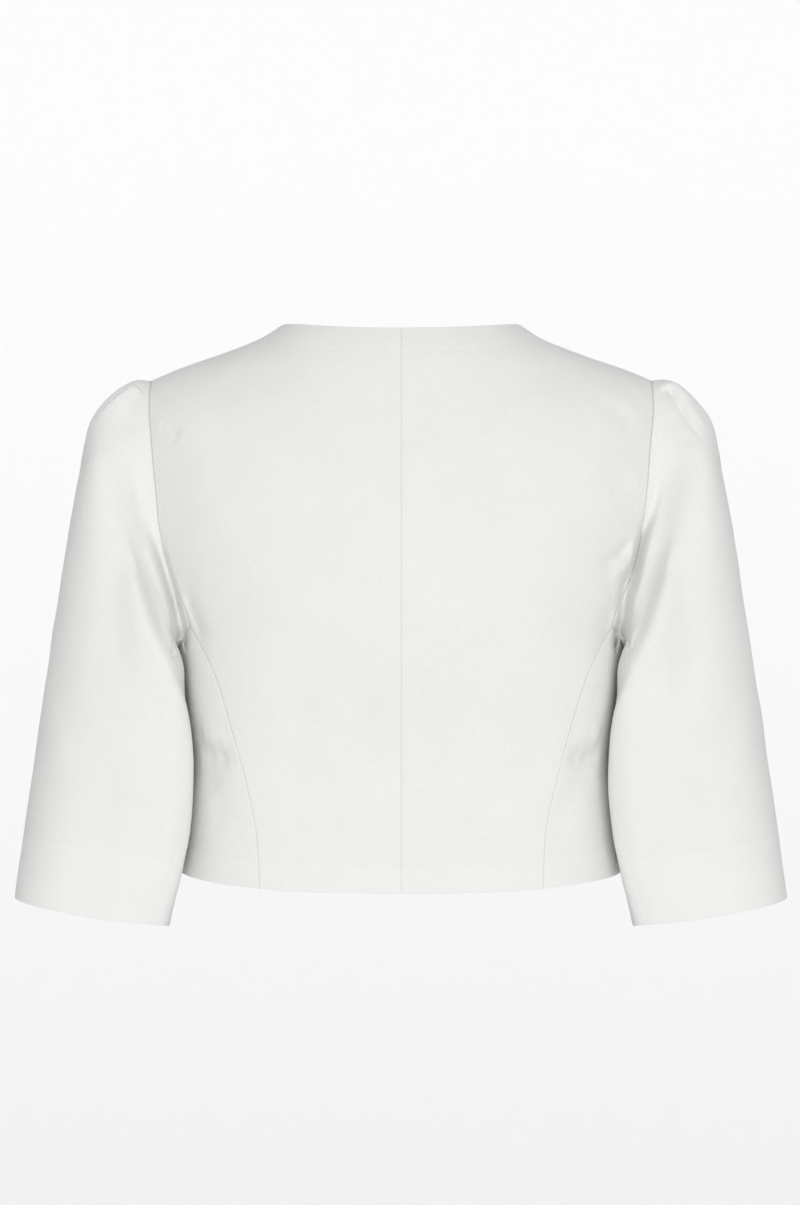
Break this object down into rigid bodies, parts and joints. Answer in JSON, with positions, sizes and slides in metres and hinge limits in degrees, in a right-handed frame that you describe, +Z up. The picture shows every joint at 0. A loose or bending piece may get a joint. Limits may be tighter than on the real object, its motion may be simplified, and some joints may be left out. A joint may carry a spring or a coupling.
{
  "type": "bolero jacket",
  "caption": "Cropped open-front bolero jacket with a round collarless neck, curved back princess seams and elbow-length set-in sleeves pleated at the crown, filled out as if worn.",
  "frame": {"origin": "midway between the two side neck points, where the jacket rests on the wearer's shoulders", "axes": "+Z up, the front faces -Y and the back +Y, +X towards the wearer's left"},
  "size_m": [0.5682, 0.2501, 0.4405],
  "materials": {
    "cloth": "matt off-white crepe with a fine pebbled weave"
  },
  "bodies": {
    "root": {"back_left": "cloth", "back_right": "cloth", "side_back_left": "cloth", "side_back_right": "cloth", "front_left": "cloth", "front_right": "cloth", "sleeve_left": "cloth", "sleeve_right": "cloth"}
  },
  "joints": []
}
